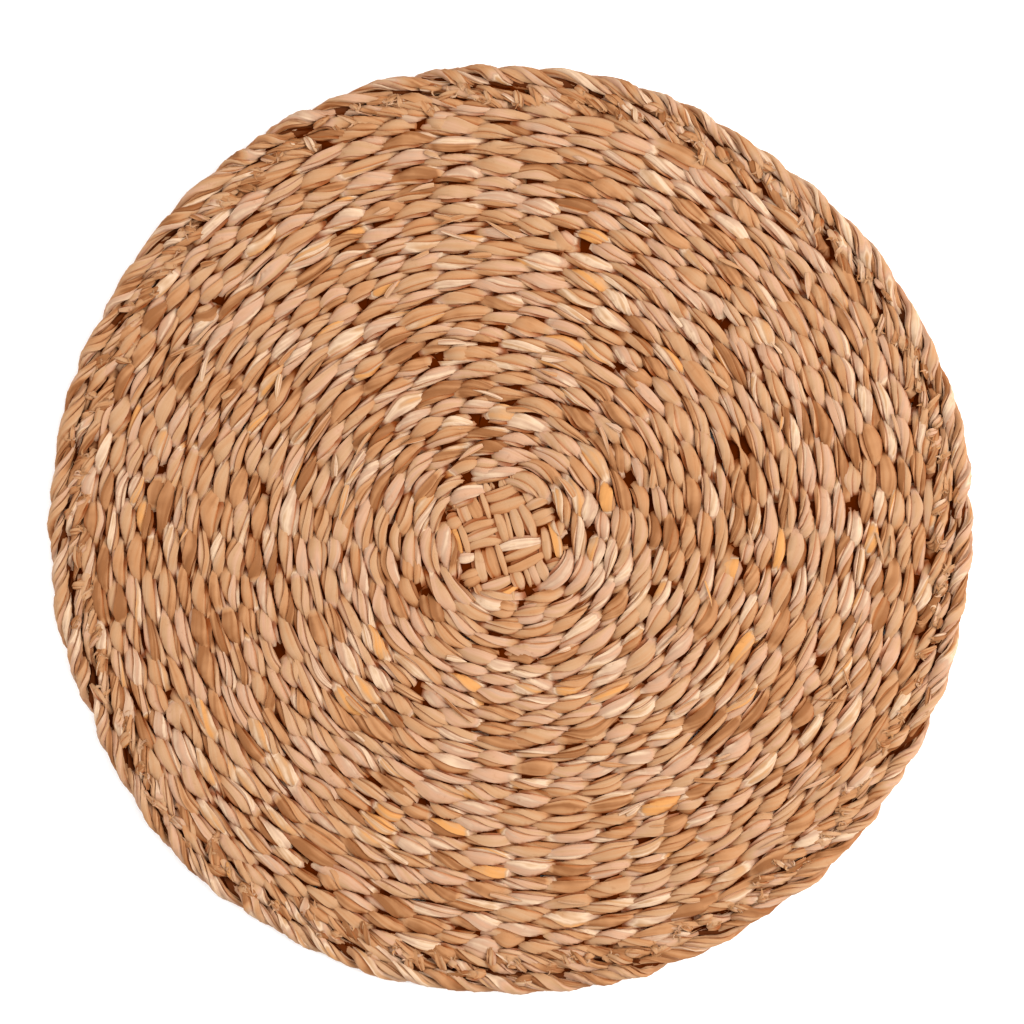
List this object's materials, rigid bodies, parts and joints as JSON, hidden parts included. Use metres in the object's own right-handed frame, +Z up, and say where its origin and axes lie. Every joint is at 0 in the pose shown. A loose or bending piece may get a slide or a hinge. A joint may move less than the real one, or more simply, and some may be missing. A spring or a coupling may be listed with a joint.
{
  "type": "seagrass placemat",
  "caption": "Round woven placemat: plaited centre, spiral over-and-under weave on fanned spokes, and a slanted rope-like border; flat underside.",
  "frame": {"origin": "on the flat underside, under the middle of the bounding box", "axes": "+Z up, square to the mat; +Y points to the top of the picture, +X to its right"},
  "size_m": [0.379, 0.38, 0.01],
  "materials": {
    "plait_seagrass": "dry, matt leaf strands with a faint sheen",
    "field_seagrass": "dry, matt leaf strands with a faint sheen",
    "rim_seagrass": "dry, matt leaf strands with a faint sheen"
  },
  "bodies": {
    "root": {"centre_plait": "plait_seagrass", "woven_field": "field_seagrass", "rim_braid": "rim_seagrass"}
  },
  "joints": []
}
